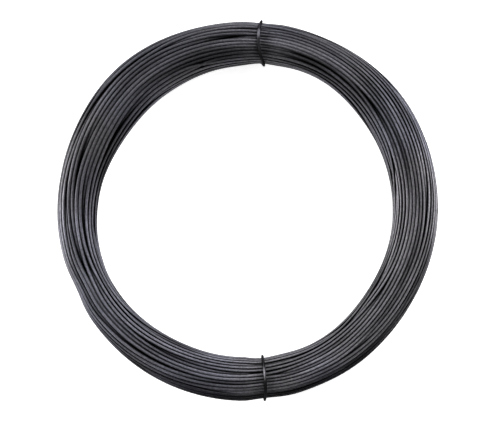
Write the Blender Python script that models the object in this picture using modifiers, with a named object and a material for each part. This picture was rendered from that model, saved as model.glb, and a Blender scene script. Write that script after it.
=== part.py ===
"""A coil of black annealed tie wire, lying flat, with the two tie wires that bind it.

Run with: blender --background --python part.py
Metres, +Z up. The coil lies on Z = 0 and the axis of its bore is the Z axis.
Angles round the ring are in degrees from +X. Places on the bundle's section are in degrees
too: 0 is its outer side, 90 its top, 180 the bore side and 270 the floor.
"""

import math
from collections import namedtuple

import bpy
import numpy as np
from mathutils import Vector

# ---------------------------------------------------------------- driving dimensions
WIRE_DIAMETER = 0.0018  # the coiled stock
BORE_DIAMETER = 0.1458  # clear width inside the innermost turns, before any slack
BUNDLE_WIDTH = 0.0214  # innermost to outermost turn, along a radius of the ring
BUNDLE_HEIGHT = 0.0196  # lowest to highest turn
BUNDLE_SQUARENESS = 2.3  # exponent of the bundle's rounded section; 2 is an ellipse

TIE_DIAMETER = 0.0015  # the binding wire, a gauge or two thinner than the stock

# The two ties, each at its angle round the ring. A tie's loop isn't flat: it lies `slant`
# further round the ring on the outer side than in its middle and as much less on the bore
# side, and `bow` further round on both of those sides than on top. It draws the bundle in by
# `outer` on its outer side and by `inner` on its bore side.
Tie = namedtuple("Tie", "angle slant bow outer inner")
TIES = {
    "tie_wire_back": Tie(angle=84.8, slant=0.00175, bow=-0.0012, outer=0.0004, inner=0.0005),
    "tie_wire_front": Tie(angle=276.5, slant=-0.0006, bow=-0.0003, outer=0.0009, inner=0.0005),
}
TAIL_LENGTH = 0.0065  # the tie's two ends, twisted together and pressed along the bundle
TAIL_PITCH = 0.0050  # tail length in which one strand goes once round the other
TAIL_PLACE = 229.0  # low on the bore side, just clear of the floor and hidden from above
TAIL_SPREAD = 0.0048  # how far from the tail a strand leaves the bundle to meet the other

PINCH_TOP = 0.0006  # how far a tie draws the bundle down, where it then stands proud
PINCH_HOLD = 2.0  # degrees on each side of a tie that are drawn in as far as under it
PINCH_REACH = 14.0  # degrees from a tie to where the bundle is full again

SEAT_GAP = 0.0003  # clearance between pieces that touch
STRAND_GAP = 0.00015  # clearance between the two strands of a tail

# Places where the turns lie slack and wide, or tight and narrow. The section there is wider
# by `width`, taller by `height` and moved `outward` from the ring's axis, which all fades to
# nothing over `reach` degrees each way.
Slack = namedtuple("Slack", "angle reach width height outward")
SLACK_PLACES = (
    Slack(angle=130.0, reach=40.0, width=0.0039, height=-0.0015, outward=0.0002),
    Slack(angle=40.0, reach=80.0, width=0.0015, height=-0.0005, outward=0.0024),
    Slack(angle=65.0, reach=33.0, width=-0.0031, height=0.0, outward=0.0004),
    Slack(angle=203.0, reach=48.0, width=-0.0039, height=0.0, outward=0.0011),
    Slack(angle=298.0, reach=29.0, width=-0.0015, height=0.0, outward=0.0003),
)

# ---------------------------------------------------------------- fineness of the meshes
FACET_LIMIT = 11100  # triangles in the ring, which sets how many sections it has
FACES_PER_TURN = 3  # flat faces across each outer turn; odd, so that each has a flat crest
OUTLINE_SAMPLES = 2000  # points used to measure along the section's outline
PINCH_CROWDING = 1.5  # how much closer together the ring's sections are under a tie
SPAN_SAMPLES = 400  # points used to measure along the ring from one tie to the next
NORMAL_PROBE = 0.5  # degrees each side of a place, from which its direction is found
TIE_POINT_SPACING = 0.0020
TAIL_POINTS_PER_PITCH = 8
BLEND_POINTS = 4  # steps from the tie's loop into its tail
BLEND_HANDLE = 0.42  # stiffness of that bend, as a share of TAIL_SPREAD

# ---------------------------------------------------------------- derived sizes
RING_RADIUS = (BORE_DIAMETER + BUNDLE_WIDTH) / 2  # to the middle of the bundle
PINCH_UNDER = TIE_DIAMETER + 2 * SEAT_GAP  # sinks a tie just above the resting plane


# ---------------------------------------------------------------- the bundle's section
def rounded(half_width, half_height, turns):
    """Points of a superellipse, measured from its middle; `turns` holds angles in radians."""
    power = 2 / BUNDLE_SQUARENESS
    across = half_width * np.sign(np.cos(turns)) * np.abs(np.cos(turns)) ** power
    up = half_height * np.sign(np.sin(turns)) * np.abs(np.sin(turns)) ** power
    return np.stack([across, up], axis=-1)


def turn_centres():
    """Centres of the outer turns, spaced evenly from the lowest one, the bore side first."""
    inset = WIRE_DIAMETER / 2
    turns = -math.pi / 2 - np.linspace(0, 2 * math.pi, OUTLINE_SAMPLES)
    outline = rounded(BUNDLE_WIDTH / 2 - inset, BUNDLE_HEIGHT / 2 - inset, turns)
    steps = np.linalg.norm(np.diff(outline, axis=0), axis=1)
    along = np.concatenate([[0.0], np.cumsum(steps)])
    count = math.ceil(along[-1] / WIRE_DIAMETER)
    stops = np.arange(count) * along[-1] / count
    return np.column_stack([np.interp(stops, along, outline[:, axis]) for axis in (0, 1)])


def outward(start, end):
    """Unit vector that points out of the bundle, square to a step along its outline."""
    step = end - start
    return np.array([-step[1], step[0]]) / np.linalg.norm(step)


def turned_profile():
    """The section's outline: a bump for each outer turn, with a groove between each two."""
    centres = turn_centres()
    radius = WIRE_DIAMETER / 2
    points = []
    for index, centre in enumerate(centres):
        before = centres[index - 1]
        after = centres[(index + 1) % len(centres)]
        half_step = np.linalg.norm(after - centre) / 2
        lean = math.asin(half_step / radius)
        crest = outward(before, after)
        ahead = np.array([crest[1], -crest[0]])
        corner_radius = radius / math.cos(lean / FACES_PER_TURN)
        for face in range(1, FACES_PER_TURN):
            turn = lean * (2 * face / FACES_PER_TURN - 1)
            points.append(centre + corner_radius * (crest * math.cos(turn) + ahead * math.sin(turn)))
        groove_depth = radius * math.cos(lean)
        points.append((centre + after) / 2 + outward(centre, after) * groove_depth)
    return points


# ---------------------------------------------------------------- how the bundle lies
def fade(angle, middle, reach, hold=0.0):
    """1 up to `hold` degrees from the middle angle, falling smoothly to 0 at `reach` degrees."""
    apart = abs((angle - middle + 180) % 360 - 180)
    share = (apart - hold) / (reach - hold)
    return 0.5 + 0.5 * math.cos(math.pi * min(max(share, 0.0), 1.0))


def pinch_at(angle, tie):
    """How far a tie has drawn the bundle in: 1 under the tie, and 0 where the bundle is full."""
    return fade(angle, tie.angle, PINCH_REACH, hold=PINCH_HOLD)


def section_at(angle):
    """The bundle at an angle round the ring: width, height, lift off the floor, move outward."""
    width = BUNDLE_WIDTH
    height = BUNDLE_HEIGHT
    lift = 0.0
    outward_move = 0.0
    for slack in SLACK_PLACES:
        share = fade(angle, slack.angle, slack.reach)
        width += slack.width * share
        height += slack.height * share
        outward_move += slack.outward * share
    for tie in TIES.values():
        pinch = pinch_at(angle, tie)
        width -= (tie.outer + tie.inner) * pinch
        height -= (PINCH_UNDER + PINCH_TOP) * pinch
        lift += PINCH_UNDER * pinch
        outward_move += (tie.inner - tie.outer) / 2 * pinch
    return width, height, lift, outward_move


def laid(across, up, angle):
    """Where a point of the section, measured from its middle, lies at an angle round the ring."""
    width, height, lift, outward_move = section_at(angle)
    radius = RING_RADIUS + outward_move + across * width / BUNDLE_WIDTH
    level = lift + height * (0.5 + up / BUNDLE_HEIGHT)
    turn = math.radians(angle)
    return Vector((radius * math.cos(turn), radius * math.sin(turn), level))


def station_angles(stations):
    """Angles of the ring's sections: one on each side of a tie, and closest together there."""
    middles = sorted(tie.angle for tie in TIES.values())
    angles = []
    for middle, following in zip(middles, middles[1:] + [middles[0] + 360]):
        span = np.linspace(middle + PINCH_HOLD, following - PINCH_HOLD, SPAN_SAMPLES)
        crowding = [
            1 + PINCH_CROWDING * sum(pinch_at(angle, tie) for tie in TIES.values()) for angle in span
        ]
        along = np.cumsum(crowding) - crowding[0]
        steps = max(1, round((stations - len(middles)) * (following - middle) / 360))
        angles += list(np.interp(np.linspace(0, along[-1], steps + 1), along, span))
    return angles


# ---------------------------------------------------------------- a tie's route
def tie_angle_at(tie, place):
    """Where a tie's loop lies round the ring at a place on the section."""
    turn = math.radians(place)
    shift = tie.slant * math.cos(turn) + tie.bow * math.cos(2 * turn)
    return tie.angle + math.degrees(shift / RING_RADIUS)


def on_bundle(place, angle, stand_off):
    """A point that stands off the turns' crests, the way onwards round the section, and out."""
    before, after = (
        laid(*rounded(BUNDLE_WIDTH / 2, BUNDLE_HEIGHT / 2, math.radians(place + probe)), angle)
        for probe in (-NORMAL_PROBE, NORMAL_PROBE)
    )
    onwards = (after - before).normalized()
    turn = math.radians(angle)
    along_ring = Vector((-math.sin(turn), math.cos(turn), 0.0))
    out = along_ring.cross(onwards)
    return (before + after) / 2 + out * stand_off, onwards, out


def tail_strand(tie, phase):
    """One strand of a tie's twisted tail, from the bend at the loop to its cut end."""
    strand_radius = TIE_DIAMETER / 2 + STRAND_GAP / 2
    stand_off = SEAT_GAP + TIE_DIAMETER / 2 + strand_radius
    start = tie_angle_at(tie, TAIL_PLACE)
    count = math.ceil(TAIL_LENGTH / TAIL_PITCH * TAIL_POINTS_PER_PITCH)
    points = []
    for run in np.linspace(0.0, TAIL_LENGTH, count + 1):
        angle = start - math.degrees((run + TIE_DIAMETER) / RING_RADIUS)
        middle, onwards, out = on_bundle(TAIL_PLACE, angle, stand_off)
        turn = phase + 2 * math.pi * run / TAIL_PITCH
        spoke = onwards * math.cos(turn) + out * math.sin(turn)
        points.append(middle + spoke * strand_radius)
    return points


def bend(start_pair, end_pair):
    """Points inside a smooth bend that carries one run of points on into the next.

    Each pair holds the run's last or first two points, in the order they are passed.
    """
    handle = TAIL_SPREAD * BLEND_HANDLE
    start, end = start_pair[1], end_pair[0]
    leave = start + (start_pair[1] - start_pair[0]).normalized() * handle
    arrive = end - (end_pair[1] - end_pair[0]).normalized() * handle
    points = []
    for t in np.linspace(0.0, 1.0, BLEND_POINTS + 1)[1:-1]:
        s = 1.0 - t
        points.append(s**3 * start + 3 * s**2 * t * leave + 3 * s * t**2 * arrive + t**3 * end)
    return points


def tie_path(tie):
    """Centre line of a tie: out of its tail, once round the bundle and into the tail again."""
    girth = math.pi * (BUNDLE_WIDTH + BUNDLE_HEIGHT) / 2
    skipped = 360 * TAIL_SPREAD / girth
    count = round((girth - 2 * TAIL_SPREAD) / TIE_POINT_SPACING)
    places = np.linspace(TAIL_PLACE + skipped, TAIL_PLACE + 360 - skipped, count + 1)
    stand_off = SEAT_GAP + TIE_DIAMETER / 2
    loop = [on_bundle(place, tie_angle_at(tie, place), stand_off)[0] for place in places]
    inbound = tail_strand(tie, phase=0.0)[::-1]
    outbound = tail_strand(tie, phase=math.pi)
    return [
        *inbound,
        *bend(inbound[-2:], loop[:2]),
        *loop,
        *bend(loop[-2:], outbound[:2]),
        *outbound,
    ]


# ---------------------------------------------------------------- objects
def steel(name, colour, roughness):
    """Steel under dark annealing scale."""
    material = bpy.data.materials.new(name)
    material.use_nodes = True
    shader = material.node_tree.nodes["Principled BSDF"]
    shader.inputs["Base Color"].default_value = (*colour, 1.0)
    shader.inputs["Roughness"].default_value = roughness
    shader.inputs["Metallic"].default_value = 0.8
    return material


def turned_ring(name, profile, steps):
    """Turns a closed profile once round the Z axis, and returns the finished mesh."""
    edges = [(index, (index + 1) % len(profile)) for index in range(len(profile))]
    outline = bpy.data.meshes.new(name + "_profile")
    outline.from_pydata([(RING_RADIUS + across, 0.0, up) for across, up in profile], edges, [])
    turning = bpy.data.objects.new(name + "_turning", outline)
    bpy.context.scene.collection.objects.link(turning)
    screw = turning.modifiers.new("turn", "SCREW")
    screw.steps = screw.render_steps = steps
    screw.use_merge_vertices = True
    screw.merge_threshold = 0.00001
    graph = bpy.context.evaluated_depsgraph_get()
    mesh = bpy.data.meshes.new_from_object(turning.evaluated_get(graph), depsgraph=graph)
    mesh.name = name
    bpy.data.objects.remove(turning)
    return mesh


def wire_coil(collection):
    """The coiled wire: a turned ring with its bore, slack in places and drawn in by its ties."""
    profile = turned_profile()
    angles = station_angles(stations=FACET_LIMIT // (2 * len(profile)))
    mesh = turned_ring("wire_coil", profile, len(angles))
    step = 2 * math.pi / len(angles)
    for vertex in mesh.vertices:
        x, y, up = vertex.co
        station = round(math.atan2(y, x) / step) % len(angles)
        vertex.co = laid(math.hypot(x, y) - RING_RADIUS, up, angles[station])
    mesh.materials.append(steel("black_annealed_steel", (0.055, 0.055, 0.06), roughness=0.6))
    mesh.shade_smooth()
    mesh.set_sharp_from_angle(angle=math.radians(70))  # the grooves stay sharp
    collection.objects.link(bpy.data.objects.new("wire_coil", mesh))


def tie_wire(name, tie, collection):
    """A binding wire round the bundle, with its ends twisted together."""
    path = tie_path(tie)
    curve = bpy.data.curves.new(name, "CURVE")
    curve.dimensions = "3D"
    curve.bevel_depth = TIE_DIAMETER / 2
    curve.bevel_resolution = 2
    curve.use_fill_caps = True
    spline = curve.splines.new("POLY")
    spline.points.add(len(path) - 1)
    for point, position in zip(spline.points, path):
        point.co = (*position, 1.0)
    spline.use_smooth = True
    curve.materials.append(steel(name + "_steel", (0.045, 0.045, 0.048), roughness=0.55))
    collection.objects.link(bpy.data.objects.new(name, curve))


def main():
    for leftover in list(bpy.data.objects):
        bpy.data.objects.remove(leftover)
    collection = bpy.data.collections.new("annealed_wire_coil")
    bpy.context.scene.collection.children.link(collection)
    wire_coil(collection)
    for name, tie in TIES.items():
        tie_wire(name, tie, collection)


main()
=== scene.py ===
"""Looks of a coil of black annealed wire: one long strand wound into a ring and held by two tie wires."""

from __future__ import annotations

import logging
import math
from collections.abc import Callable
from dataclasses import dataclass
from enum import Enum

import bpy
import numpy as np
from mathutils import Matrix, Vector

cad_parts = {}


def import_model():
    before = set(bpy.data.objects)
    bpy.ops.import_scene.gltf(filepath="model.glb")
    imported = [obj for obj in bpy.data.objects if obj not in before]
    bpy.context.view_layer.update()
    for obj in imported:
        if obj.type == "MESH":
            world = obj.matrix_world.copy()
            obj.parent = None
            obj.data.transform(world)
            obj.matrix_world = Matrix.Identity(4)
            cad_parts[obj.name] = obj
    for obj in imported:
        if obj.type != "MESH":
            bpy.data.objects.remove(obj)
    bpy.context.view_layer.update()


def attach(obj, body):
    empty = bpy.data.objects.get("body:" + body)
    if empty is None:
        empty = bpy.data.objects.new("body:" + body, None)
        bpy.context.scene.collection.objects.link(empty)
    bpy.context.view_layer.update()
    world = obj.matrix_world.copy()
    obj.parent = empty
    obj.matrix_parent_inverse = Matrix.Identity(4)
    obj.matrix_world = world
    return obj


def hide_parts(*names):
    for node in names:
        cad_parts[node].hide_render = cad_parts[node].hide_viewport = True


LOG = logging.getLogger("coil")

METRES_PER_MM = 0.001
BODY = "root"
COIL_NODE = "wire_coil"
RUN_ATTRIBUTE = "straight_wire"
EXPOSURE_ATTRIBUTE = "exposure"
FACING_ATTRIBUTE = "facing"
TONE_ATTRIBUTE = "painted_light_tone"
BAKE_MAP = "OFBake"
COIL_SLOT = "annealed_wire"
TIE_SLOT = "tie_wire"
ZERO_TO_ONE = (0.0, 1.0)


# ---------------------------------------------------------------- the bundle

@dataclass(frozen=True)
class Slack:
    """A stretch of the ring where the turns lie looser or tighter than elsewhere.

    Millimetres, and degrees round the ring. The bundle gains `width` and `height` in its middle
    and moves `outward`, and all three fade out at the reach.
    """

    angle: float
    reach: float
    width: float
    height: float
    outward: float


@dataclass(frozen=True)
class Tie:
    """Where a tie wire lies on the ring, and the CAD node that its piece replaces. Millimetres and degrees.

    Its loop isn't flat. It lies `slant` further round the ring on the outer side and as much less
    on the bore side, and `bow` further round on both sides and as much less on top and underneath.
    It draws the bundle in by `outer` on its outer side and by `inner` on its bore side. A painted
    highlight lies on it near the side `highlight_side`, from -1 in the bore to 1 outside, as far as
    `highlight_reach`.
    """

    node: str
    piece: str
    angle: float
    slant: float
    bow: float
    outer: float
    inner: float
    highlight_side: float
    highlight_reach: float


@dataclass(frozen=True)
class Patch:
    """A part of the bundle's skin where something is more or less by a factor.

    Angles are in degrees round the ring. Sides go from -1 on the bore side to 1 on the outer
    side. The factor is full up to the hold, and has faded out at the reach.
    """

    factor: float
    angle: float
    reach: float
    side: float
    side_reach: float
    hold: float = 0.0
    side_hold: float = 0.0


@dataclass(frozen=True)
class BundleShape:
    """Outline of the bundle of turns, which changes along the ring. Millimetres and degrees.

    The section is between an ellipse, `squareness` 2, and a box. A tie draws it in by its own
    `outer` and `inner`, by `pinch_top` and by `pinch_under`, as far as `pinch_reach` from it.
    Painted light patches darken or lighten the colour: painted shade below 1 and painted light above
    1, over parts of the ring and sides of the bundle. Rub and shade patches have narrower rubbed strips
    along the crests above 1, and broader ones below 1, which widens or narrows the painted shade on
    the flanks.
    """

    bore: float = 145.4
    width: float = 22.0
    height: float = 19.6
    squareness: float = 2.3
    ties: tuple[Tie, ...] = (
        Tie("tie_wire_back", "bent_tie_back", angle=84.8, slant=1.75, bow=-1.2, outer=0.35, inner=0.45,
            highlight_side=0.42, highlight_reach=0.3),
        Tie("tie_wire_front", "bent_tie_front", angle=276.5, slant=-0.6, bow=-0.3, outer=0.75, inner=0.45,
            highlight_side=-0.3, highlight_reach=0.45),
    )
    pinch_top: float = 0.6
    pinch_under: float = 2.0
    pinch_hold: float = 1.5
    pinch_reach: float = 8.0
    slacks: tuple[Slack, ...] = (
        Slack(angle=130.0, reach=40.0, width=3.9, height=-1.5, outward=0.2),
        Slack(angle=40.0, reach=80.0, width=1.5, height=-0.5, outward=2.4),
        Slack(angle=65.0, reach=33.0, width=-3.1, height=0.0, outward=0.4),
        Slack(angle=203.0, reach=48.0, width=-3.4, height=0.0, outward=1.05),
        Slack(angle=298.0, reach=29.0, width=-1.5, height=0.0, outward=0.3),
        Slack(angle=204.5, reach=10.0, width=-0.9, height=0.0, outward=-0.45),
        Slack(angle=149.0, reach=24.0, width=0.6, height=0.0, outward=-0.65),
        Slack(angle=352.0, reach=26.0, width=0.0, height=0.0, outward=0.35),
        Slack(angle=305.0, reach=16.0, width=0.35, height=0.0, outward=0.2),
    )
    # Painted shade below 1 and painted light above 1, over parts of the ring and sides of the bundle.
    painted_light_patches: tuple[Patch, ...] = (
        Patch(factor=0.16, angle=285.0, reach=68.0, hold=25.0, side=1.0, side_reach=0.5, side_hold=0.25),
        Patch(factor=0.50, angle=105.0, reach=60.0, hold=15.0, side=0.8, side_reach=0.9, side_hold=0.4),
        Patch(factor=0.50, angle=93.0, reach=60.0, side=-0.4, side_reach=0.5, side_hold=0.15),
        Patch(factor=0.65, angle=172.0, reach=30.0, side=-1.0, side_reach=0.7, side_hold=0.1),
        Patch(factor=0.85, angle=5.0, reach=65.0, side=-0.8, side_reach=1.3, side_hold=0.4),
        Patch(factor=1.35, angle=195.0, reach=40.0, side=-0.40, side_reach=0.5, side_hold=0.1),
        Patch(factor=1.40, angle=322.0, reach=50.0, hold=12.0, side=0.0, side_reach=0.9, side_hold=0.35),
        Patch(factor=0.74, angle=130.0, reach=55.0, hold=25.0, side=-0.05, side_reach=0.6, side_hold=0.2),
        Patch(factor=0.78, angle=156.0, reach=25.0, hold=5.0, side=-0.30, side_reach=0.5, side_hold=0.2),
        Patch(factor=0.70, angle=187.0, reach=25.0, side=0.40, side_reach=0.4),
        Patch(factor=0.60, angle=220.0, reach=32.0, hold=8.0, side=1.0, side_reach=0.5, side_hold=0.15),
        Patch(factor=0.68, angle=343.0, reach=28.0, side=1.0, side_reach=0.6, side_hold=0.2),
        Patch(factor=0.75, angle=25.0, reach=28.0, side=-1.0, side_reach=0.5, side_hold=0.15),
        Patch(factor=1.40, angle=285.0, reach=22.0, side=0.0, side_reach=0.5, side_hold=0.1),
        Patch(factor=0.85, angle=0.0, reach=25.0, side=-0.3, side_reach=0.5, side_hold=0.1),
        Patch(factor=1.30, angle=16.0, reach=35.0, hold=10.0, side=0.0, side_reach=2.0, side_hold=1.0),
        Patch(factor=1.50, angle=10.0, reach=25.0, hold=7.0, side=0.8, side_reach=0.85, side_hold=0.3),
        Patch(factor=0.70, angle=67.0, reach=20.0, hold=4.0, side=0.8, side_reach=0.9, side_hold=0.2),
        Patch(factor=1.65, angle=193.0, reach=19.0, hold=5.0, side=-0.05, side_reach=0.42),
        Patch(factor=1.25, angle=262.0, reach=22.0, side=-0.9, side_reach=0.5, side_hold=0.1),
        Patch(factor=0.84, angle=48.0, reach=45.0, hold=15.0, side=0.0, side_reach=1.5, side_hold=0.8),
    )
    # These widen or narrow the painted shade on the wires' flanks.
    rub_and_shade_patches: tuple[Patch, ...] = (
        Patch(factor=0.40, angle=286.0, reach=60.0, hold=32.0, side=1.0, side_reach=0.6, side_hold=0.3),
        Patch(factor=1.35, angle=315.0, reach=60.0, hold=25.0, side=0.0, side_reach=2.0, side_hold=1.0),
        Patch(factor=0.30, angle=95.0, reach=60.0, hold=25.0, side=0.4, side_reach=0.9, side_hold=0.4),
        Patch(factor=0.40, angle=180.0, reach=40.0, hold=10.0, side=1.0, side_reach=1.0, side_hold=0.4),
        Patch(factor=0.50, angle=145.0, reach=45.0, hold=15.0, side=0.0, side_reach=1.2, side_hold=0.5),
        Patch(factor=1.20, angle=120.0, reach=60.0, hold=20.0, side=-1.0, side_reach=0.6, side_hold=0.2),
        Patch(factor=1.50, angle=22.0, reach=40.0, hold=15.0, side=0.0, side_reach=2.0, side_hold=1.0),
    )

    def middle(self, angles: np.ndarray) -> np.ndarray:
        """Radius of the ring at the middle of the bundle.

        Args:
            angles: Angles round the ring.

        Returns:
            One radius an angle.
        """
        radius = np.full_like(angles, (self.bore + self.width) / 2)
        for slack in self.slacks:
            radius = radius + slack.outward * self.fade(angles, slack.angle, slack.reach)
        for tie in self.ties:
            radius = radius + (tie.inner - tie.outer) / 2 * self.pinch(angles, tie)
        return radius

    def pinch(self, angles: np.ndarray, tie: Tie) -> np.ndarray:
        """How far a tie has drawn the bundle in, from 0 to 1."""
        return self.fade(angles, tie.angle, self.pinch_reach, self.pinch_hold)

    @staticmethod
    def fade(angles: np.ndarray, middle: float, reach: float, hold: float = 0.0) -> np.ndarray:
        """A smooth bump round the ring, 1 up to the hold from its middle and 0 from the reach on."""
        apart = np.abs((angles - middle + 180.0) % 360.0 - 180.0)
        return BundleShape.ease(apart, reach, hold)

    @staticmethod
    def ease(apart: np.ndarray, reach: float, hold: float) -> np.ndarray:
        """A smooth fall with distance, 1 up to the hold and 0 from the reach on."""
        return 0.5 + 0.5 * np.cos(np.pi * np.clip((apart - hold) / (reach - hold), 0.0, 1.0))

    def section(self, angles: np.ndarray) -> tuple[np.ndarray, np.ndarray, np.ndarray]:
        """Size of the bundle's section.

        Args:
            angles: Angles round the ring.

        Returns:
            Width, height, and how far the underside is lifted off the floor.
        """
        width = np.full_like(angles, self.width)
        height = np.full_like(angles, self.height)
        for slack in self.slacks:
            share = self.fade(angles, slack.angle, slack.reach)
            width = width + slack.width * share
            height = height + slack.height * share
        lift = np.zeros_like(angles)
        for tie in self.ties:
            pinch = self.pinch(angles, tie)
            width = width - (tie.outer + tie.inner) * pinch
            height = height - (self.pinch_under + self.pinch_top) * pinch
            lift = lift + self.pinch_under * pinch
        return width, height, lift

    def fullness(self, places: np.ndarray, halves: np.ndarray) -> np.ndarray:
        """How far out places across and up lie in a section of these half sizes, 1 being its outline."""
        return (np.abs(places / halves) ** self.squareness).sum(-1) ** (1 / self.squareness)

    def off_outline(self, places: np.ndarray, angles: np.ndarray,
                    stand_off: float) -> tuple[np.ndarray, np.ndarray, np.ndarray]:
        """Points that stand off the bundle's outline.

        Args:
            places: Places on the section in degrees: 0 its outer side, 90 its top.
            angles: Angles round the ring.
            stand_off: Distance from the outline.

        Returns:
            The points, and their directions out of the bundle and onwards round its section.
        """
        width, height, lift = self.section(angles)
        halves = np.stack([width, height], axis=-1) / 2
        turns = np.radians(places)
        spoke = np.stack([np.cos(turns), np.sin(turns)], axis=-1)
        power = 2 / self.squareness
        slope = np.sign(spoke) * np.abs(spoke) ** (2 - power) / halves
        slope /= np.linalg.norm(slope, axis=-1, keepdims=True)
        flat = np.sign(spoke) * np.abs(spoke) ** power * halves + slope * stand_off
        around = np.radians(angles)
        ring_out = np.stack([np.cos(around), np.sin(around), np.zeros_like(around)], axis=-1)
        up = np.array([0.0, 0.0, 1.0])
        radius = self.middle(angles) + flat[..., 0]
        level = lift + halves[..., 1] + flat[..., 1]
        points = radius[..., None] * ring_out + level[..., None] * up
        out = slope[..., :1] * ring_out + slope[..., 1:] * up
        onwards = -slope[..., 1:] * ring_out + slope[..., :1] * up
        return points, out, onwards

    def shares(self, points: np.ndarray) -> tuple[np.ndarray, np.ndarray]:
        """Where points in space lie in the bundle.

        Args:
            points: Points in metres.

        Returns:
            Their angles round the ring, and their places across and up in halves of the section.
        """
        spots = points / METRES_PER_MM
        angles = np.degrees(np.arctan2(spots[:, 1], spots[:, 0]))
        width, height, lift = self.section(angles)
        across = (np.hypot(spots[:, 0], spots[:, 1]) - self.middle(angles)) / (width / 2)
        up = (spots[:, 2] - lift) / (height / 2) - 1.0
        return angles, np.stack([across, up], axis=1)

    def exposure(self, points: np.ndarray) -> np.ndarray:
        """How far out of the bundle points in metres lie, from 0 in its middle to 1 on its outline."""
        return self.fullness(self.shares(points)[1], np.ones(2))

    def facing(self, points: np.ndarray, normals: np.ndarray) -> np.ndarray:
        """How squarely parts of a wire's skin face out of the bundle, as the rub and shade patches have it,
        which widen or narrow the painted shade on the flanks.

        Args:
            points: Points in metres.
            normals: Directions in which the skin faces there.

        Returns:
            One number a point, 1 where it faces straight out and less the more it turns away.
        """
        angles, places = self.shares(points)
        width, height, _ = self.section(angles)
        slope = np.sign(places) * np.abs(places) ** (self.squareness - 1)
        slope /= np.stack([width, height], axis=1)
        slope /= np.linalg.norm(slope, axis=1, keepdims=True)
        around = np.radians(angles)
        across = normals[:, 0] * np.cos(around) + normals[:, 1] * np.sin(around)
        straight = across * slope[:, 0] + normals[:, 2] * slope[:, 1]
        return 1.0 - (1.0 - straight) * self.patched(points, self.rub_and_shade_patches)

    def tone(self, points: np.ndarray) -> np.ndarray:
        """Painted light and shade at points in metres, as a factor on the colour."""
        return self.patched(points, self.painted_light_patches)

    def patched(self, points: np.ndarray, patches: tuple[Patch, ...]) -> np.ndarray:
        """What patches of the skin come to at points in space.

        Args:
            points: Points in metres.
            patches: The patches.

        Returns:
            One factor a point, 1 where no patch lies.
        """
        angles, places = self.shares(points)
        factor = np.ones(len(points))
        for patch in patches:
            across = self.ease(np.abs(places[:, 0] - patch.side), patch.side_reach, patch.side_hold)
            around = self.fade(angles, patch.angle, patch.reach, patch.hold)
            factor *= 1.0 + (patch.factor - 1.0) * across * around
        return factor


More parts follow.
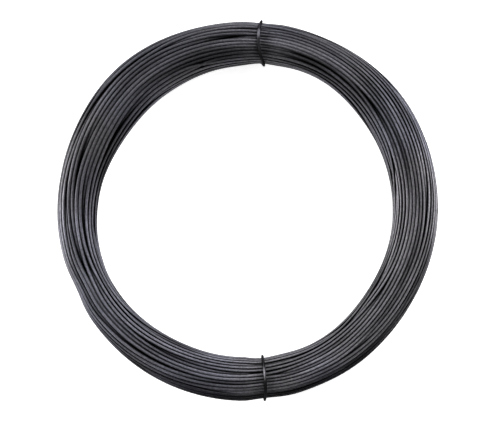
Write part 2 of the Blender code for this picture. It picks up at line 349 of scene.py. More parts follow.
@dataclass
class Winding:
    """The course of one strand that goes round the ring many times without crossing through itself.

    Millimetres, degrees and turns. A turn has a point at each of `stations` round the ring.

    Laying: turns sit in layers, of the widest pitch that holds them all, and a row may run over
    its end by `overhang` of a pitch. The strand strays from its seats by `wander` wires over
    `wander_run` of a turn, and by `loose_wander` more round `loose_angle`. The layers lie rolled
    over by `roll` at `rolled_angle` and as much back opposite. Both ends of the strand are tucked
    into the middle of the bundle over `tuck_turns`.

    Swelling: the strand starts at `thin_start` of its thickness and is full at `full_from` of the
    steps. In each step its turns push each other apart, move out by up to `bulge`, or by
    `loose_bulge` round `loose_angle`, and are eased straight `easings` times, by the first
    `stiffness` up to `firm_until` of the steps and then by the second.

    Room: the outline encloses `outline_fill` of its width by its height, each less `skin` of a
    wire, and the turns fill `packing` of that. They stay between `closest` wires and one wire
    apart, and up to `loosest` of a wire more round `loosest_angle`. `least_distance` is what two
    turns at one place count as. The outer side and the bore side are evened over
    `settle_stations`, and the bundle lies `floor_gap` off the floor.
    """

    shape: BundleShape
    wire: float = 1.8
    turns: int = 90
    stations: int = 96
    widest_pitch: float = 0.30
    closest_pitch: float = 0.10
    pitch_tries: int = 400
    overhang: float = 0.25
    wander: float = 0.8
    wander_run: float = 0.22
    loose_angle: float = 165.0
    loose_reach: float = 90.0
    loose_wander: float = 0.5
    roll: float = 60.0
    rolled_angle: float = 120.0
    seed: int = 23
    tuck_turns: float = 0.35
    steps: int = 320
    thin_start: float = 0.35
    full_from: float = 0.7
    bulge: float = 0.035
    loose_bulge: float = 0.006
    easings: int = 3
    stiffness: tuple[float, float] = (0.45, 0.30)
    firm_until: float = 0.8
    least_distance: float = 1e-6
    outline_fill: float = 0.825
    skin: float = 0.2
    packing: float = 0.86
    closest: float = 0.94
    loosest: float = 0.22
    loosest_angle: float = 135.0
    loosest_reach: float = 60.0
    settle_stations: int = 5
    floor_gap: float = 0.025

    def station_angles(self) -> np.ndarray:
        """Angles of the stations round the ring."""
        return np.arange(self.stations) * 360.0 / self.stations

    def seats(self) -> np.ndarray:
        """Places of the turns in the bundle's section, in layers laid side to side, the lowest first.

        Returns:
            One place a turn, across and up, from -1 to 1.
        """
        square = self.shape.squareness
        flatness = self.shape.width / self.shape.height
        for pitch in np.linspace(self.widest_pitch, self.closest_pitch, self.pitch_tries):
            places: list[tuple[float, float]] = []
            rise = pitch * flatness * math.sqrt(3) / 2
            layers = int((2 - pitch * flatness) / rise) + 1
            most = math.ceil(1 / pitch)
            for layer in range(layers):
                up = (layer - (layers - 1) / 2) * rise
                reach = (1 - min(abs(up), 1.0) ** square) ** (1 / square) - pitch / 2
                offset = pitch / 2 if layer % 2 else 0.0
                steps = np.arange(-most, most + 1) * pitch + offset
                row = steps[np.abs(steps) <= reach + self.overhang * pitch]
                if layer % 2:
                    row = row[::-1]
                places += [(across, up) for across in row]
            if len(places) >= self.turns:
                break
        return np.array(places[: self.turns])

    def drift(self, count: int) -> np.ndarray:
        """Slow random wander of the strand along its length.

        Args:
            count: Number of points along the strand.

        Returns:
            Two columns, across and up, with a spread of 1.
        """
        draws = np.random.default_rng(self.seed).standard_normal((2, count))
        waves = np.fft.rfftfreq(count)
        damp = np.exp(-2 * (np.pi * waves * self.wander_run * self.stations) ** 2)
        slow = np.fft.irfft(np.fft.rfft(draws, axis=1) * damp, n=count, axis=1)
        return (slow / slow.std(axis=1, keepdims=True)).T

    def first_guess(self) -> np.ndarray:
        """Course of a thin strand before it is swelled to its real thickness.

        Returns:
            Places across and up, from -1 to 1, for every point along the strand.
        """
        count = self.turns * self.stations
        along = np.arange(count) / self.stations
        seats = self.seats()
        numbers = np.arange(self.turns)
        course = np.stack([np.interp(along, numbers, seats[:, axis]) for axis in (0, 1)], axis=1)
        looseness = self.shape.fade(self.station_angles(), self.loose_angle, self.loose_reach)
        wander = self.wander + self.loose_wander * np.tile(looseness, self.turns)
        course = course + self.drift(count) * wander[:, None] * self.wire / (self.shape.width / 2)
        out = self.shape.fullness(course, np.ones(2))
        course = self.rolled(course / np.maximum(out, 1.0)[:, None])
        from_end = np.minimum(along, along[-1] - along) / self.tuck_turns
        tuck = 0.5 - 0.5 * np.cos(np.pi * np.minimum(from_end, 1.0))
        return course * tuck[:, None]

    def rolled(self, course: np.ndarray) -> np.ndarray:
        """Turns the section as the bundle rolls over to one side and back once round the ring.

        Args:
            course: Places across and up, from -1 to 1, for every point along the strand.

        Returns:
            The places after the roll.
        """
        roll = self.roll * np.cos(np.radians(self.station_angles() - self.rolled_angle))
        turn = np.radians(np.tile(roll, self.turns))
        across = course[:, 0] * np.cos(turn) + course[:, 1] * np.sin(turn)
        up = course[:, 1] * np.cos(turn) - course[:, 0] * np.sin(turn)
        return np.stack([across, up], axis=1)

    def room(self, width: np.ndarray, height: np.ndarray) -> np.ndarray:
        """Distance that the turns keep from each other, more where the bundle is slack.

        Args:
            width: Width of the bundle at each station.
            height: Height of the bundle at each station.

        Returns:
            Distances between the middles of neighbouring turns.
        """
        skin = self.skin * self.wire
        area = self.outline_fill * (width - skin) * (height - skin)
        even = np.sqrt(self.packing * area / (self.turns * math.pi / 4))
        looseness = self.shape.fade(self.station_angles(), self.loosest_angle, self.loosest_reach)
        return np.clip(even, self.closest * self.wire, (1.0 + self.loosest * looseness) * self.wire)

    def relax(self) -> np.ndarray:
        """Swells the strand inside the bundle's outline until its turns lie against each other.

        Returns:
            Places across and up in millimetres, by turn and station.
        """
        angles = self.station_angles()
        width, height, _ = self.shape.section(angles)
        halves = np.stack([width, height], axis=1)[:, None] / 2
        looseness = self.shape.fade(angles, self.loose_angle, self.loose_reach)
        bulge = self.bulge + (self.loose_bulge - self.bulge) * looseness
        shape = (self.turns, self.stations, 2)
        places = self.first_guess().reshape(shape).transpose(1, 0, 2) * halves
        places = places.astype(np.float32)
        own = np.arange(self.turns)
        room = self.room(width, height)[:, None, None]
        for step in range(self.steps):
            done = step / (self.steps - 1)
            swell = min(1.0, self.thin_start + (1 - self.thin_start) * done / self.full_from)
            thick = room * swell
            apart = places[:, :, None] - places[:, None]
            distance = np.sqrt((apart ** 2).sum(-1))
            distance[:, own, own] = np.inf
            overlap = np.maximum(thick - distance, 0.0)
            touching = np.maximum(1.0, 0.5 * (overlap > 0).sum(-1))
            overlap_share = overlap / np.maximum(distance, self.least_distance)
            push = 0.5 * (apart * overlap_share[..., None]).sum(2)
            places = places + push / touching[..., None]
            places = places + bulge[:, None, None] * places / halves
            out = self.shape.fullness(places, halves - self.wire * swell / 2)
            places = places / np.maximum(out, 1.0)[..., None]
            ease = self.stiffness[0] if done < self.firm_until else self.stiffness[1]
            line = (places / halves).transpose(1, 0, 2).reshape(-1, 2)
            for _ in range(self.easings):
                line[1:-1] = (1 - ease) * line[1:-1] + 0.5 * ease * (line[:-2] + line[2:])
            places = (line.reshape(shape).transpose(1, 0, 2) * halves).astype(np.float32)
        return self.settle(places, halves - self.wire / 2).transpose(1, 0, 2)

    def settle(self, places: np.ndarray, room: np.ndarray) -> np.ndarray:
        """Lets the outermost turns lie out against the bundle's outer and bore sides.

        Args:
            places: Places across and up, by station and turn.
            room: Half width and half height that the middles of the turns may fill, by station.

        Returns:
            The places, spread a little.
        """
        spread = places.copy()
        weights = np.hanning(self.settle_stations + 2)[1:-1]
        around = np.arange(self.stations)[:, None] + np.arange(len(weights)) - len(weights) // 2
        for side in (-1.0, 1.0):
            farthest = (side * places).max(axis=1)[around % self.stations]
            even = (farthest * weights[:, None]).sum(axis=1) / weights.sum()
            stretched = places * (room[:, 0] / even)[:, None]
            spread = np.where(side * places > 0, stretched, spread)
        return spread / np.maximum(self.shape.fullness(spread, room), 1.0)[..., None]

    def course(self) -> np.ndarray:
        """Points of the strand in space.

        Returns:
            Points in metres, in order along the strand.
        """
        places = self.relax()
        angles = self.station_angles()
        _, height, lift = self.shape.section(angles)
        radius = self.shape.middle(angles)[None] + places[..., 0]
        level = places[..., 1] + (lift + height / 2)[None] + self.floor_gap
        turn = np.radians(angles)[None]
        points = np.stack([radius * np.cos(turn), radius * np.sin(turn), level], axis=-1)
        return points.reshape(-1, 3) * METRES_PER_MM


# ---------------------------------------------------------------- node helpers

class Build:
    """Short ways to add and join nodes in one tree."""

    def __init__(self, tree: bpy.types.NodeTree) -> None:
        """Keeps the tree that nodes are added to."""
        self.tree = tree

    def node(self, kind: str, **settings: object) -> bpy.types.Node:
        """Adds a node.

        Args:
            kind: Blender's name of the node type.
            settings: Properties of the node.

        Returns:
            The new node.
        """
        node = self.tree.nodes.new(kind)
        for name, value in settings.items():
            setattr(node, name, value)
        return node

    def feed(self, node: bpy.types.Node, values: dict[str | int, object]) -> bpy.types.Node:
        """Fills a node's inputs.

        Args:
            node: The node.
            values: Input names or numbers, each with a plain value or an output to link.

        Returns:
            The same node.
        """
        for name, value in values.items():
            if isinstance(value, bpy.types.NodeSocket):
                self.tree.links.new(value, node.inputs[name])
            else:
                node.inputs[name].default_value = value
        return node

    def maths(self, operation: str, *values: object) -> bpy.types.NodeSocket:
        """Adds a sum on plain numbers or outputs, given in order, and hands back its result."""
        node = self.node("ShaderNodeMath", operation=operation)
        return self.feed(node, dict(enumerate(values))).outputs[0]

    def ranged(self, value: bpy.types.NodeSocket, source: tuple[float, float],
               target: tuple[float, float]) -> bpy.types.NodeSocket:
        """Maps a value from one range to another, and holds it there.

        Args:
            value: The value.
            source: Its range.
            target: The range to fill.

        Returns:
            The mapped value.
        """
        node = self.feed(self.node("ShaderNodeMapRange"),
                         {"Value": value, "From Min": source[0], "From Max": source[1],
                          "To Min": target[0], "To Max": target[1]})
        return node.outputs[0]

    def mix(self, amount: bpy.types.NodeSocket, first: object, second: object) -> bpy.types.NodeSocket:
        """Mixes two colours, plain or outputs, the amount being the share of the second."""
        node = self.node("ShaderNodeMix", data_type="RGBA", blend_type="MIX")
        return self.feed(node, {0: amount, 6: first, 7: second}).outputs[2]

    def read(self, attribute: str) -> bpy.types.Node:
        """Adds a node that reads one of the mesh's attributes."""
        return self.node("ShaderNodeAttribute", attribute_name=attribute)


def sweep_tree() -> bpy.types.NodeTree:
    """Geometry Nodes tree that draws a round wire along a course.

    Returns:
        The tree, with inputs for the wire's radius, sides, points between stations and material.
    """
    tree = bpy.data.node_groups.new("round_wire_along_course", "GeometryNodeTree")
    inputs = {"Course": "Geometry", "Wire Radius": "Float", "Sides": "Int", "Steps Between Stations": "Int",
              "Finish": "Material"}
    for label, kind in inputs.items():
        tree.interface.new_socket(label, in_out="INPUT", socket_type="NodeSocket" + kind)
    tree.interface.new_socket("Wire", in_out="OUTPUT", socket_type="NodeSocketGeometry")
    make = Build(tree)
    given = make.node("NodeGroupInput")
    smooth = make.feed(make.node("GeometryNodeCurveSplineType", spline_type="CATMULL_ROM"),
                       {"Curve": given.outputs["Course"]})
    finer = make.feed(make.node("GeometryNodeSetSplineResolution"),
                      {"Geometry": smooth.outputs[0], "Resolution": given.outputs["Steps Between Stations"]})
    plain = make.feed(make.node("GeometryNodeResampleCurve", mode="EVALUATED"), {"Curve": finer.outputs[0]})
    length = make.node("GeometryNodeSplineParameter").outputs["Length"]
    run = make.node("GeometryNodeCaptureAttribute", domain="POINT")
    run.capture_items.new("FLOAT", "Run")
    make.feed(run, {"Geometry": plain.outputs[0], "Run": length})
    circle = make.feed(make.node("GeometryNodeCurvePrimitiveCircle", mode="RADIUS"),
                       {"Resolution": given.outputs["Sides"], "Radius": given.outputs["Wire Radius"]})
    rim = make.node("GeometryNodeCaptureAttribute", domain="POINT")
    rim.capture_items.new("VECTOR", "Place")
    place = make.node("GeometryNodeInputPosition").outputs[0]
    make.feed(rim, {"Geometry": circle.outputs[0], "Place": place})
    tube = make.feed(make.node("GeometryNodeCurveToMesh"),
                     {"Curve": run.outputs["Geometry"], "Profile Curve": rim.outputs["Geometry"],
                      "Fill Caps": True})
    flat = make.feed(make.node("ShaderNodeSeparateXYZ"), {0: rim.outputs["Place"]})
    along = make.feed(make.node("ShaderNodeCombineXYZ"),
                      {"X": flat.outputs["X"], "Y": flat.outputs["Y"], "Z": run.outputs["Run"]})
    store = make.node("GeometryNodeStoreNamedAttribute", data_type="FLOAT_VECTOR", domain="POINT")
    stored = make.feed(store, {"Geometry": tube.outputs[0], "Name": RUN_ATTRIBUTE, "Value": along.outputs[0]})
    shaded = make.feed(make.node("GeometryNodeSetShadeSmooth"), {"Geometry": stored.outputs[0]})
    real = make.feed(make.node("GeometryNodeRealizeInstances"), {"Geometry": shaded.outputs[0]})
    dressed = make.feed(make.node("GeometryNodeSetMaterial"),
                        {"Geometry": real.outputs[0], "Material": given.outputs["Finish"]})
    make.feed(make.node("NodeGroupOutput"), {"Wire": dressed.outputs[0]})
    return tree


class Twist(Enum):
    """How a swept section is turned: with the same side up all along, or by as little as the bends allow."""

    LEVEL = "Z_UP"
    LEAST = "MINIMUM"


def lay_out_strips(mesh: bpy.types.Mesh, sides: int, rings_a_row: int) -> None:
    """Gives a swept wire a flat layout: stretches of its skin in rows, one above the other.

    Rows keep `row_edge` of their length free at both ends and `row_gap` of their height above and
    below. The two cut ends get a row of their own on top, and `end_radius` is in row heights.

    Args:
        mesh: Mesh of a swept wire, whose vertices run ring by ring.
        sides: Vertices in a ring.
        rings_a_row: Rings that one row of the layout holds.
    """
    row_edge = 0.002
    row_gap = 0.04
    end_radius = 0.35
    rings = len(mesh.vertices) // sides
    rows = math.ceil((rings - 1) / rings_a_row) + 1
    corner_vertex = np.empty(len(mesh.loops), dtype=np.int64)
    mesh.loops.foreach_get("vertex_index", corner_vertex)
    sizes = np.empty(len(mesh.polygons), dtype=np.int64)
    mesh.polygons.foreach_get("loop_total", sizes)
    face_of_corner = np.repeat(np.arange(len(sizes)), sizes)
    ring, side = np.divmod(corner_vertex, sides)

    # A face that closes a ring ends at a full turn round it, and not back at its start.
    first_ring = np.full(len(sizes), rings)
    np.minimum.at(first_ring, face_of_corner, ring)
    most = np.zeros(len(sizes), dtype=np.int64)
    np.maximum.at(most, face_of_corner, side)
    least = np.full(len(sizes), sides)
    np.minimum.at(least, face_of_corner, side)
    wraps = (most - least > 1)[face_of_corner] & (side == 0)
    side = np.where(wraps, sides, side)

    # Every face lies whole in the row of its first ring.
    row, start = np.divmod(first_ring[face_of_corner], rings_a_row)
    along = (start + ring - first_ring[face_of_corner]) / rings_a_row
    around = side / sides
    layout = np.stack([row_edge + along * (1 - 2 * row_edge),
                       (row + row_gap + around * (1 - 2 * row_gap)) / rows], axis=1)

    # The cut ends are round faces side by side in the top row.
    is_cut_end = (sizes != 4)[face_of_corner]
    turn = 2 * np.pi * corner_vertex / sides
    which = np.where(ring > 0, 2.0, 1.0)
    middle = np.stack([which / rows, np.full(len(turn), 1 - 0.5 / rows)], axis=1)
    disc = middle + np.stack([np.cos(turn), np.sin(turn)], axis=1) * end_radius / rows
    layout = np.where(is_cut_end[:, None], disc, layout)
    mesh.uv_layers.new(name=BAKE_MAP).data.foreach_set("uv", layout.ravel())


@dataclass
class WireSweep:
    """Draws round wires along courses of points, as plain meshes."""

    tree: bpy.types.NodeTree
    radius: float
    sides: int
    steps_between: int
    rings_a_row: int

    def piece(self, name: str, points: np.ndarray, finish: bpy.types.Material,
              twist: Twist) -> bpy.types.Object:
        """Makes one piece of wire.

        Args:
            name: Name of the piece.
            points: Points of its course in metres.
            finish: Its material.
            twist: How the section turns along the course.

        Returns:
            An object at the origin with a plain mesh.
        """
        course = bpy.data.curves.new(name + "_course", "CURVE")
        course.dimensions = "3D"
        course.twist_mode = twist.value
        spline = course.splines.new("POLY")
        spline.points.add(len(points) - 1)
        spline.points.foreach_set("co", np.c_[points, np.ones(len(points))].ravel())
        carrier = bpy.data.objects.new(name + "_course", course)
        bpy.context.collection.objects.link(carrier)
        sweep = carrier.modifiers.new("sweep", "NODES")
        sweep.node_group = self.tree
        values = {"Wire Radius": self.radius, "Sides": self.sides,
                  "Steps Between Stations": self.steps_between, "Finish": finish}
        for socket in self.tree.interface.items_tree:
            if socket.in_out == "INPUT" and socket.name in values:
                sweep[socket.identifier] = values[socket.name]
        carrier.update_tag()
        graph = bpy.context.evaluated_depsgraph_get()
        mesh = bpy.data.meshes.new_from_object(carrier.evaluated_get(graph), depsgraph=graph)
        mesh.name = name
        carrier.modifiers.clear()
        bpy.data.objects.remove(carrier)
        bpy.data.curves.remove(course)
        lay_out_strips(mesh, self.sides, self.rings_a_row)
        piece = bpy.data.objects.new(name, mesh)
        bpy.context.collection.objects.link(piece)
        return piece

    @staticmethod
    def mark_skin(piece: bpy.types.Object, shape: BundleShape,
                  tone: Callable[[np.ndarray], np.ndarray]) -> None:
        """Stores on each vertex how far out of the bundle it lies and faces, and its painted light and shade.

        Args:
            piece: The piece.
            shape: The bundle that it belongs to.
            tone: Gives the painted light and shade at points in metres.
        """
        mesh = piece.data
        points = np.empty(3 * len(mesh.vertices))
        mesh.vertices.foreach_get("co", points)
        points = points.reshape(-1, 3)
        normals = np.empty(3 * len(mesh.vertices))
        mesh.vertex_normals.foreach_get("vector", normals)
        skin = {EXPOSURE_ATTRIBUTE: shape.exposure(points),
                FACING_ATTRIBUTE: shape.facing(points, normals.reshape(-1, 3)),
                TONE_ATTRIBUTE: tone(points)}
        for name, values in skin.items():
            attribute = mesh.attributes.new(name, "FLOAT", "POINT")
            attribute.data.foreach_set("value", values.astype(np.float32))


# ---------------------------------------------------------------- finishes

def shader_group(name: str, inputs: dict[str, tuple[str, float | tuple[float, float, float]]],
                 outputs: dict[str, str]) -> tuple[bpy.types.NodeTree, Build, bpy.types.Node, bpy.types.Node]:
    """Starts a shader node group.

    Args:
        name: Name of the group.
        inputs: Input names, each with its kind and plain value.
        outputs: Output names with their kinds.

    Returns:
        The group, a builder for it, its input node and its output node.
    """
    group = bpy.data.node_groups.new(name, "ShaderNodeTree")
    for label, (kind, value) in inputs.items():
        socket = group.interface.new_socket(label, in_out="INPUT", socket_type="NodeSocket" + kind)
        socket.default_value = value
    for label, kind in outputs.items():
        group.interface.new_socket(label, in_out="OUTPUT", socket_type="NodeSocket" + kind)
    make = Build(group)
    return group, make, make.node("NodeGroupInput"), make.node("NodeGroupOutput")


def oxide_scale_group() -> bpy.types.NodeTree:
    """Grain of the oxide, fine lines left by the drawing die, and slow changes of shade along the wire.

    Returns:
        A group that reads coordinates across and along the straightened wire, in metres.
    """
    group, make, given, result = shader_group(
        "oxide_scale",
        {"Straight Wire": ("Vector", (0.0, 0.0, 0.0)), "Grain Size": ("Float", 0.0005),
         "Grain Stretch": ("Float", 2.0), "Line Width": ("Float", 0.00025), "Line Length": ("Float", 0.012),
         "Shade Length": ("Float", 0.06)},
        {"Grain": "Float", "Lines": "Float", "Shade": "Float"})
    noise_roughness = 0.6
    usual_noise = (0.3, 0.7)

    def pattern(width: bpy.types.NodeSocket, length: bpy.types.NodeSocket,
                detail: float) -> bpy.types.NodeSocket:
        """Noise in long cells.

        Args:
            width: Width of a cell, across the wire.
            length: Length of a cell, along the wire.
            detail: How finely the cells are broken up.

        Returns:
            The noise, spread to fill 0 to 1.
        """
        across = make.maths("DIVIDE", 1.0, width)
        along = make.maths("DIVIDE", 1.0, length)
        scale = make.feed(make.node("ShaderNodeCombineXYZ"), {"X": across, "Y": across, "Z": along})
        place = make.feed(make.node("ShaderNodeVectorMath", operation="MULTIPLY"),
                          {0: given.outputs["Straight Wire"], 1: scale.outputs[0]})
        noise = make.feed(make.node("ShaderNodeTexNoise", noise_dimensions="3D"),
                          {"Vector": place.outputs[0], "Scale": 1.0, "Detail": detail,
                           "Roughness": noise_roughness})
        return make.ranged(noise.outputs[0], usual_noise, ZERO_TO_ONE)

    stretched = make.maths("MULTIPLY", given.outputs["Grain Size"], given.outputs["Grain Stretch"])
    make.feed(result, {
        "Grain": pattern(given.outputs["Grain Size"], stretched, 2.0),
        "Lines": pattern(given.outputs["Line Width"], given.outputs["Line Length"], 1.0),
        "Shade": pattern(given.outputs["Line Length"], given.outputs["Shade Length"], 1.0)})
    return group


def rust_fleck_group() -> bpy.types.NodeTree:
    """A small rough-edged fleck at one place.

    Returns:
        A group that reads object coordinates and puts out a mask.
    """
    group, make, given, result = shader_group(
        "rust_fleck",
        {"Place": ("Vector", (0.0, 0.0, 0.0)), "Middle": ("Vector", (0.0, 0.0, 0.0)),
         "Radius": ("Float", 0.001), "Raggedness": ("Float", 0.6)},
        {"Mask": "Float"})
    noise_cells_a_metre = 2500.0
    solid_share = 0.4
    distance = make.feed(make.node("ShaderNodeVectorMath", operation="DISTANCE"),
                         {0: given.outputs["Place"], 1: given.outputs["Middle"]})
    share = make.maths("DIVIDE", distance.outputs["Value"], given.outputs["Radius"])
    noise = make.feed(make.node("ShaderNodeTexNoise"),
                      {"Vector": given.outputs["Place"], "Scale": noise_cells_a_metre, "Detail": 2.0})
    centred = make.maths("SUBTRACT", noise.outputs[0], 0.5)
    ragged = make.maths("MULTIPLY_ADD", centred, given.outputs["Raggedness"], share)
    mask = make.feed(make.node("ShaderNodeMapRange", interpolation_type="SMOOTHSTEP"),
                     {"Value": ragged, "From Min": 1.0, "From Max": solid_share})
    make.feed(result, {"Mask": mask.outputs[0]})
    return group


@dataclass(frozen=True)
class Fleck:
    """A small fleck of rust. Metres."""

    middle: tuple[float, float, float]
    radius: float


@dataclass(frozen=True)
class AnnealedSteel:
    """Dark oxide that annealing leaves on soft steel wire, rubbed lighter where it is handled.

    Each pair holds the two ends of a range. Away from the rubbed crests the colour goes to a
    near-black painted shade, in the gaps between turns, on their flanks and inside the bundle. The
    rub and the painted shade set in over `rub_and_shade_depth` on the way out of the bundle, whose
    outline is at 1, and over `rub_and_shade_facing` of facing out, which the oxide's shade shifts by
    up to `rub_and_shade_spread`. A film veils the rubbed skin, sets in over `film_tone` of the
    painted light tone, and makes the skin less metallic, from the first `metallic` to the second.
    Skin seen edge-on reflects `edge_tint` of what bright metal would.
    """

    name: str
    # Near-black painted shade for the gaps between turns, their flanks and the inside of the bundle.
    painted_shade: tuple[float, float, float] = (0.005, 0.005, 0.006)
    rubbed_cool: tuple[float, float, float] = (0.120, 0.120, 0.146)
    rubbed_warm: tuple[float, float, float] = (0.123, 0.1195, 0.1305)
    rust: tuple[float, float, float] = (0.15, 0.10, 0.075)
    rub_and_shade_depth: tuple[float, float] = (0.88, 0.97)
    rub_and_shade_facing: tuple[float, float] = (0.58, 1.0)
    rub_and_shade_spread: float = 0.21
    roughness: tuple[float, float] = (0.46, 0.63)
    metallic: tuple[float, float] = (1.0, 0.5)
    film_tone: tuple[float, float] = (0.2, 0.6)
    edge_tint: float = 0.5
    tint_size: float = 0.05
    tint_noise: tuple[float, float] = (0.4, 0.6)
    grain_depth: float = 0.4
    shade_depth: float = 0.22
    bump_height: float = 0.00003
    flecks: tuple[Fleck, ...] = ()

    def material(self, scale: bpy.types.NodeTree, fleck: bpy.types.NodeTree) -> bpy.types.Material:
        """Builds the finish.

        Args:
            scale: The oxide scale group.
            fleck: The rust fleck group.

        Returns:
            The material.
        """
        material = bpy.data.materials.new(self.name)
        material.use_nodes = True
        make = Build(material.node_tree)
        steel = material.node_tree.nodes["Principled BSDF"]
        # Painted light and shade, as a factor on the colour.
        tone = make.read(TONE_ATTRIBUTE).outputs["Fac"]
        place = make.node("ShaderNodeTexCoord").outputs["Object"]
        oxide = make.feed(make.node("ShaderNodeGroup", node_tree=scale),
                          {"Straight Wire": make.read(RUN_ATTRIBUTE).outputs["Vector"]})
        # Mask of the rubbed crests, 0 where shade is painted in the gaps, on the flanks and inside the
        # bundle.
        rub_and_shade = self.rub_and_shade(make, oxide.outputs["Shade"])
        colour = self.colour(make, place, rub_and_shade, tone, oxide)
        for spot in self.flecks:
            mask = make.feed(make.node("ShaderNodeGroup", node_tree=fleck),
                             {"Place": place, "Middle": spot.middle, "Radius": spot.radius})
            colour = make.mix(mask.outputs[0], colour, (*self.rust, 1.0))
        relief = make.maths("ADD", oxide.outputs["Grain"], oxide.outputs["Lines"])
        bump = make.feed(make.node("ShaderNodeBump"),
                         {"Height": relief, "Distance": self.bump_height, "Strength": 1.0})
        make.feed(steel, {
            "Base Color": colour,
            "Metallic": self.metal(make, rub_and_shade, tone),
            "Roughness": make.ranged(oxide.outputs["Lines"], ZERO_TO_ONE, self.roughness),
            "Specular Tint": (self.edge_tint, self.edge_tint, self.edge_tint, 1.0),
            "Normal": bump.outputs[0]})
        return material

    def rub_and_shade(self, make: Build, shade: bpy.types.NodeSocket) -> bpy.types.NodeSocket:
        """Where the wire is rubbed, and where shade is painted on it.

        Args:
            make: Builder of the material's tree.
            shade: Slow changes along the wire.

        Returns:
            A mask, 1 on the crests that lie on the outside of the bundle, and 0 where shade is painted: in
            the gaps, on the flanks and inside the bundle.
        """
        exposure = make.read(EXPOSURE_ATTRIBUTE).outputs["Fac"]
        facing = make.read(FACING_ATTRIBUTE).outputs["Fac"]
        outside = make.ranged(exposure, self.rub_and_shade_depth, ZERO_TO_ONE)
        shift = make.ranged(shade, ZERO_TO_ONE, (-self.rub_and_shade_spread, self.rub_and_shade_spread))
        crest = make.ranged(make.maths("ADD", facing, shift), self.rub_and_shade_facing, ZERO_TO_ONE)
        return make.maths("MULTIPLY", outside, crest)

    def metal(self, make: Build, rub_and_shade: bpy.types.NodeSocket,
              tone: bpy.types.NodeSocket) -> bpy.types.NodeSocket | float:
        """How metallic the skin is under its film.

        Args:
            make: Builder of the material's tree.
            rub_and_shade: Where the wire is rubbed, 0 where shade is painted.
            tone: Painted light and shade, as a factor on the colour.

        Returns:
            The share of metal, a plain number where a film doesn't change it.
        """
        bare, veiled = self.metallic
        if bare == veiled:
            return bare
        film = make.maths("MULTIPLY", rub_and_shade, make.ranged(tone, self.film_tone, ZERO_TO_ONE))
        return make.ranged(film, ZERO_TO_ONE, self.metallic)

    def colour(self, make: Build, place: bpy.types.NodeSocket, rub_and_shade: bpy.types.NodeSocket,
               tone: bpy.types.NodeSocket, oxide: bpy.types.Node) -> bpy.types.NodeSocket:
        """Colour of the oxide, with painted light and shade.

        Args:
            make: Builder of the material's tree.
            place: Object coordinates.
            rub_and_shade: Where the wire is rubbed, 0 where shade is painted.
            tone: Painted light and shade, as a factor on the colour.
            oxide: The oxide scale group's node.

        Returns:
            The colour.
        """
        broad = make.feed(make.node("ShaderNodeTexNoise"),
                          {"Vector": place, "Scale": 1 / self.tint_size, "Detail": 1.0})
        tint = make.mix(make.ranged(broad.outputs[0], self.tint_noise, ZERO_TO_ONE),
                        (*self.rubbed_cool, 1.0), (*self.rubbed_warm, 1.0))
        # Painted shade where the mask is 0, and the oxide's own colour on the rubbed crests.
        painted_light_and_wear = make.mix(rub_and_shade, (*self.painted_shade, 1.0), tint)
        grain = make.ranged(oxide.outputs["Grain"], ZERO_TO_ONE, (1 - self.grain_depth, 1 + self.grain_depth))
        shade = make.ranged(oxide.outputs["Shade"], ZERO_TO_ONE, (1 - self.shade_depth, 1 + self.shade_depth))
        # The tone paints light and shade onto the colour.
        light = make.maths("MULTIPLY", make.maths("MULTIPLY", grain, shade), tone)
        scaled = make.feed(make.node("ShaderNodeVectorMath", operation="SCALE"), {0: painted_light_and_wear, "Scale": light})
        return scaled.outputs[0]


# ---------------------------------------------------------------- pieces

@dataclass
class WireCoil:
    """The strand itself, in two lengths that join inside the bundle."""

    shape: BundleShape
    winding: Winding
    sides: int = 10
    steps_between: int = 2
    lengths: int = 2

    def build(self, tree: bpy.types.NodeTree, finish: bpy.types.Material) -> list[bpy.types.Object]:
        """Makes the lengths of wire.

        Args:
            tree: The sweep's node tree.
            finish: The wire's material.

        Returns:
            The pieces.
        """
        points = self.winding.course()
        sweep = WireSweep(tree, self.winding.wire / 2 * METRES_PER_MM, self.sides, self.steps_between,
                          rings_a_row=self.winding.stations * self.steps_between)
        per_length = self.winding.turns // self.lengths * self.winding.stations
        pieces = []
        for number in range(self.lengths):
            first = number * per_length
            stretch = points[first: first + per_length + 1]
            piece = sweep.piece(f"wound_wire_{number + 1}", stretch, finish, Twist.LEVEL)
            sweep.mark_skin(piece, self.shape, self.shape.tone)
            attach(piece, BODY)
            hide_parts(COIL_NODE)
            pieces.append(piece)
        return pieces


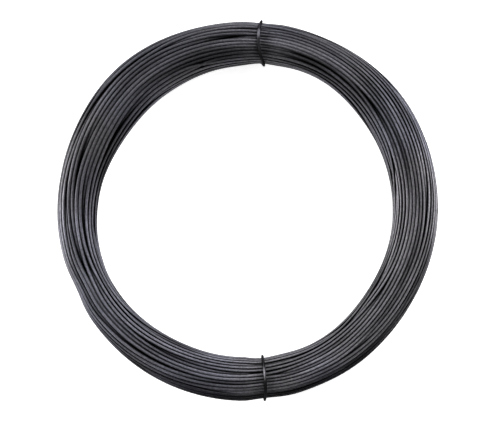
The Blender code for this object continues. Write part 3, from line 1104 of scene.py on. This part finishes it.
@dataclass
class TieWire:
    """A binding wire round the bundle, with its two ends twisted together. Millimetres and degrees.

    The loop stands `seat_gap` off the bundle's outline, or bites in where that is below 0. It
    starts and ends `tail_spread` from `tail_place`, which is a place on the section in degrees:
    0 its outer side, 90 its top. There both ends bend along the bundle and twist round each other
    once every `tail_pitch`. Its colour goes from `dull_and_painted_shade`, a painted shade, to
    `painted_light_and_wear`, a painted highlight.
    """

    shape: BundleShape
    tie: Tie
    wire: float = 1.4
    seat_gap: float = -0.1
    strand_gap: float = 0.06
    loop_points: int = 44
    # Painted shade over most of the tie, and a painted highlight near one side of its loop.
    dull_and_painted_shade: float = 0.16
    painted_light_and_wear: float = 1.7
    tail_place: float = 229.0
    tail_length: float = 6.5
    tail_pitch: float = 4.4
    tail_spread: float = 4.4
    tail_points: int = 12
    bend_points: int = 4
    bend_handle: float = 0.42
    sides: int = 12
    steps_between: int = 3
    rings_a_row: int = 48

    def angles(self, places: np.ndarray) -> np.ndarray:
        """Where the loop lies round the ring.

        Args:
            places: Places on the section.

        Returns:
            One angle round the ring for each place.
        """
        turns = np.radians(places)
        shift = self.tie.slant * np.cos(turns) + self.tie.bow * np.cos(2 * turns)
        return self.tie.angle + np.degrees(shift / self.shape.middle(np.array([self.tie.angle]))[0])

    def tone(self, points: np.ndarray) -> np.ndarray:
        """Painted shade and painted highlight on the tie at points in metres."""
        apart = np.abs(self.shape.shares(points)[1][:, 0] - self.tie.highlight_side)
        return self.dull_and_painted_shade + (self.painted_light_and_wear - self.dull_and_painted_shade) * self.shape.ease(apart, self.tie.highlight_reach, 0.0)

    def strand(self, phase: float) -> np.ndarray:
        """One strand of the twisted tail.

        Args:
            phase: Where it starts on its way round the other strand, in radians.

        Returns:
            Points from the loop to the cut end.
        """
        spiral = (self.wire + self.strand_gap) / 2
        run = np.linspace(0.0, self.tail_length, self.tail_points)
        start = self.angles(np.array([self.tail_place]))[0]
        radius = self.shape.middle(np.array([start]))[0]
        angles = start - np.degrees((run + self.wire) / radius)
        places = np.full_like(run, self.tail_place)
        middles, out, onwards = self.shape.off_outline(places, angles, self.seat_gap + self.wire / 2 + spiral)
        turns = (phase + 2 * np.pi * run / self.tail_pitch)[:, None]
        return middles + spiral * (onwards * np.cos(turns) + out * np.sin(turns))

    def bend(self, before: np.ndarray, after: np.ndarray) -> np.ndarray:
        """Smooth bend from one run of points to the next.

        Args:
            before: Last two points of the first run.
            after: First two points of the next run.

        Returns:
            Points in between.
        """
        handle = self.tail_spread * self.bend_handle
        leave = before[1] + handle * (before[1] - before[0]) / np.linalg.norm(before[1] - before[0])
        arrive = after[0] - handle * (after[1] - after[0]) / np.linalg.norm(after[1] - after[0])
        share = np.linspace(0.0, 1.0, self.bend_points + 2)[1:-1, None]
        rest = 1.0 - share
        return (rest ** 3 * before[1] + 3 * rest ** 2 * share * leave
                + 3 * rest * share ** 2 * arrive + share ** 3 * after[0])

    def course(self) -> np.ndarray:
        """Points of the tie: out of its tail, once round the bundle and into the tail again.

        Returns:
            Points in metres.
        """
        girth = math.pi * (self.shape.width + self.shape.height) / 2
        skipped = 360.0 * self.tail_spread / girth
        places = np.linspace(self.tail_place + skipped, self.tail_place + 360.0 - skipped, self.loop_points)
        loop = self.shape.off_outline(places, self.angles(places), self.seat_gap + self.wire / 2)[0]
        inbound = self.strand(0.0)[::-1]
        outbound = self.strand(math.pi)
        into_loop = self.bend(inbound[-2:], loop[:2])
        out_of_loop = self.bend(loop[-2:], outbound[:2])
        return np.concatenate([inbound, into_loop, loop, out_of_loop, outbound]) * METRES_PER_MM

    def build(self, tree: bpy.types.NodeTree, finish: bpy.types.Material) -> bpy.types.Object:
        """Makes the tie.

        Args:
            tree: The sweep's node tree.
            finish: The tie's material.

        Returns:
            The piece.
        """
        sweep = WireSweep(tree, self.wire / 2 * METRES_PER_MM, self.sides, self.steps_between,
                          self.rings_a_row)
        piece = sweep.piece(self.tie.piece, self.course(), finish, Twist.LEAST)
        sweep.mark_skin(piece, self.shape, self.tone)
        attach(piece, BODY)
        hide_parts(self.tie.node)
        return piece


# ---------------------------------------------------------------- studio

@dataclass(frozen=True)
class Lamp:
    """A soft lamp: its direction in degrees round from +X and up from the floor, and its watts."""

    name: str
    azimuth: float
    elevation: float
    power: float


@dataclass
class Studio:
    """Floor, lamps and camera. Metres, but millimetres for the camera's sensor.

    The camera sees `view_width` across at `view_level` above the floor. Every lamp is a square of
    `lamp_size` that hangs `lamp_distance` from the middle of the floor.
    """

    camera_height: float = 1.0
    camera_place: tuple[float, float] = (-0.00196, -0.00249)
    view_width: float = 0.2421
    view_level: float = 0.01
    sensor: float = 36.0
    floor_size: float = 3.0
    wall_height: float = 0.3
    wall_sides: int = 96
    paint: tuple[float, float, float] = (0.85, 0.85, 0.85)
    paint_roughness: float = 0.9
    floor_glow: float = 0.88
    lamps: tuple[Lamp, ...] = (
        Lamp("left", azimuth=180.0, elevation=18.0, power=24.1),
        Lamp("back", azimuth=90.0, elevation=18.0, power=10.0),
        Lamp("right", azimuth=0.0, elevation=18.0, power=8.0),
        Lamp("high", azimuth=45.0, elevation=45.0, power=10.6),
    )
    lamp_distance: float = 1.25
    lamp_size: float = 0.45
    fill: float = 0.02

    def floor(self) -> None:
        """Lays a plain pale floor with a low pale wall round its edge."""
        paint = self.pale_paint()
        bpy.ops.mesh.primitive_plane_add(size=self.floor_size)
        floor = bpy.context.object
        floor.name = "floor"
        bpy.ops.mesh.primitive_cylinder_add(vertices=self.wall_sides, radius=self.floor_size / 2,
                                            depth=self.wall_height, end_fill_type="NOTHING",
                                            location=(0.0, 0.0, self.wall_height / 2))
        wall = bpy.context.object
        wall.name = "backdrop"
        for stand in (floor, wall):
            stand.data.materials.append(paint)

    def pale_paint(self) -> bpy.types.Material:
        """Pale paint that glows to the eye and in reflections, but doesn't light the object.

        Returns:
            The material.
        """
        material = bpy.data.materials.new("pale_paint")
        material.use_nodes = True
        make = Build(material.node_tree)
        rays = make.node("ShaderNodeLightPath").outputs
        seen = make.maths("MAXIMUM", rays["Is Camera Ray"], rays["Is Glossy Ray"])
        shown = make.maths("MAXIMUM", seen, rays["Is Transmission Ray"])
        make.feed(material.node_tree.nodes["Principled BSDF"], {
            "Base Color": (*self.paint, 1.0),
            "Roughness": self.paint_roughness,
            "Emission Color": (1.0, 1.0, 1.0, 1.0),
            "Emission Strength": make.maths("MULTIPLY", shown, self.floor_glow)})
        return material

    def hang(self, lamp: Lamp) -> None:
        """Hangs a square soft lamp that faces the object.

        Args:
            lamp: The lamp.
        """
        data = bpy.data.lights.new(lamp.name, "AREA")
        data.shape = "SQUARE"
        data.size = self.lamp_size
        data.energy = lamp.power
        around = math.radians(lamp.azimuth)
        rise = math.radians(lamp.elevation)
        level = math.cos(rise)
        towards = Vector((level * math.cos(around), level * math.sin(around), math.sin(rise)))
        carrier = bpy.data.objects.new(lamp.name, data)
        carrier.location = towards * self.lamp_distance
        carrier.rotation_euler = (-towards).to_track_quat("-Z", "Y").to_euler()
        bpy.context.collection.objects.link(carrier)

    def light(self) -> None:
        """Hangs the lamps and sets the weak even fill of the surroundings."""
        for lamp in self.lamps:
            self.hang(lamp)
        world = bpy.data.worlds.new("studio")
        bpy.context.scene.world = world
        world.use_nodes = True
        sky = world.node_tree.nodes["Background"]
        sky.inputs["Color"].default_value = (1.0, 1.0, 1.0, 1.0)
        sky.inputs["Strength"].default_value = self.fill

    def camera(self) -> None:
        """Sets the camera above the ring, looking straight down."""
        data = bpy.data.cameras.new("camera")
        data.type = "PERSP"
        data.sensor_width = self.sensor
        data.lens = self.sensor * (self.camera_height - self.view_level) / self.view_width
        camera = bpy.data.objects.new("camera", data)
        camera.location = (*self.camera_place, self.camera_height)
        bpy.context.collection.objects.link(camera)
        bpy.context.scene.camera = camera

    def set_up(self) -> None:
        """Makes the whole studio."""
        self.floor()
        self.light()
        self.camera()
        bpy.context.scene.view_settings.view_transform = "Standard"


def main() -> None:
    """Builds the coil and its studio."""
    logging.basicConfig(level=logging.INFO, format="%(name)s: %(message)s")
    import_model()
    shape = BundleShape()
    tree = sweep_tree()
    scale = oxide_scale_group()
    fleck = rust_fleck_group()
    rusty_spot = Fleck(middle=(0.048, -0.0642, 0.018), radius=0.0012)
    coil_finish = AnnealedSteel(COIL_SLOT, flecks=(rusty_spot,)).material(scale, fleck)
    tie_finish = AnnealedSteel(TIE_SLOT, metallic=(1.0, 1.0)).material(scale, fleck)
    pieces = WireCoil(shape, Winding(shape)).build(tree, coil_finish)
    pieces += [TieWire(shape, tie).build(tree, tie_finish) for tie in shape.ties]
    for piece in pieces:
        LOG.info("%s: %d faces", piece.name, len(piece.data.polygons))
    Studio().set_up()


if __name__ == "__main__":
    main()
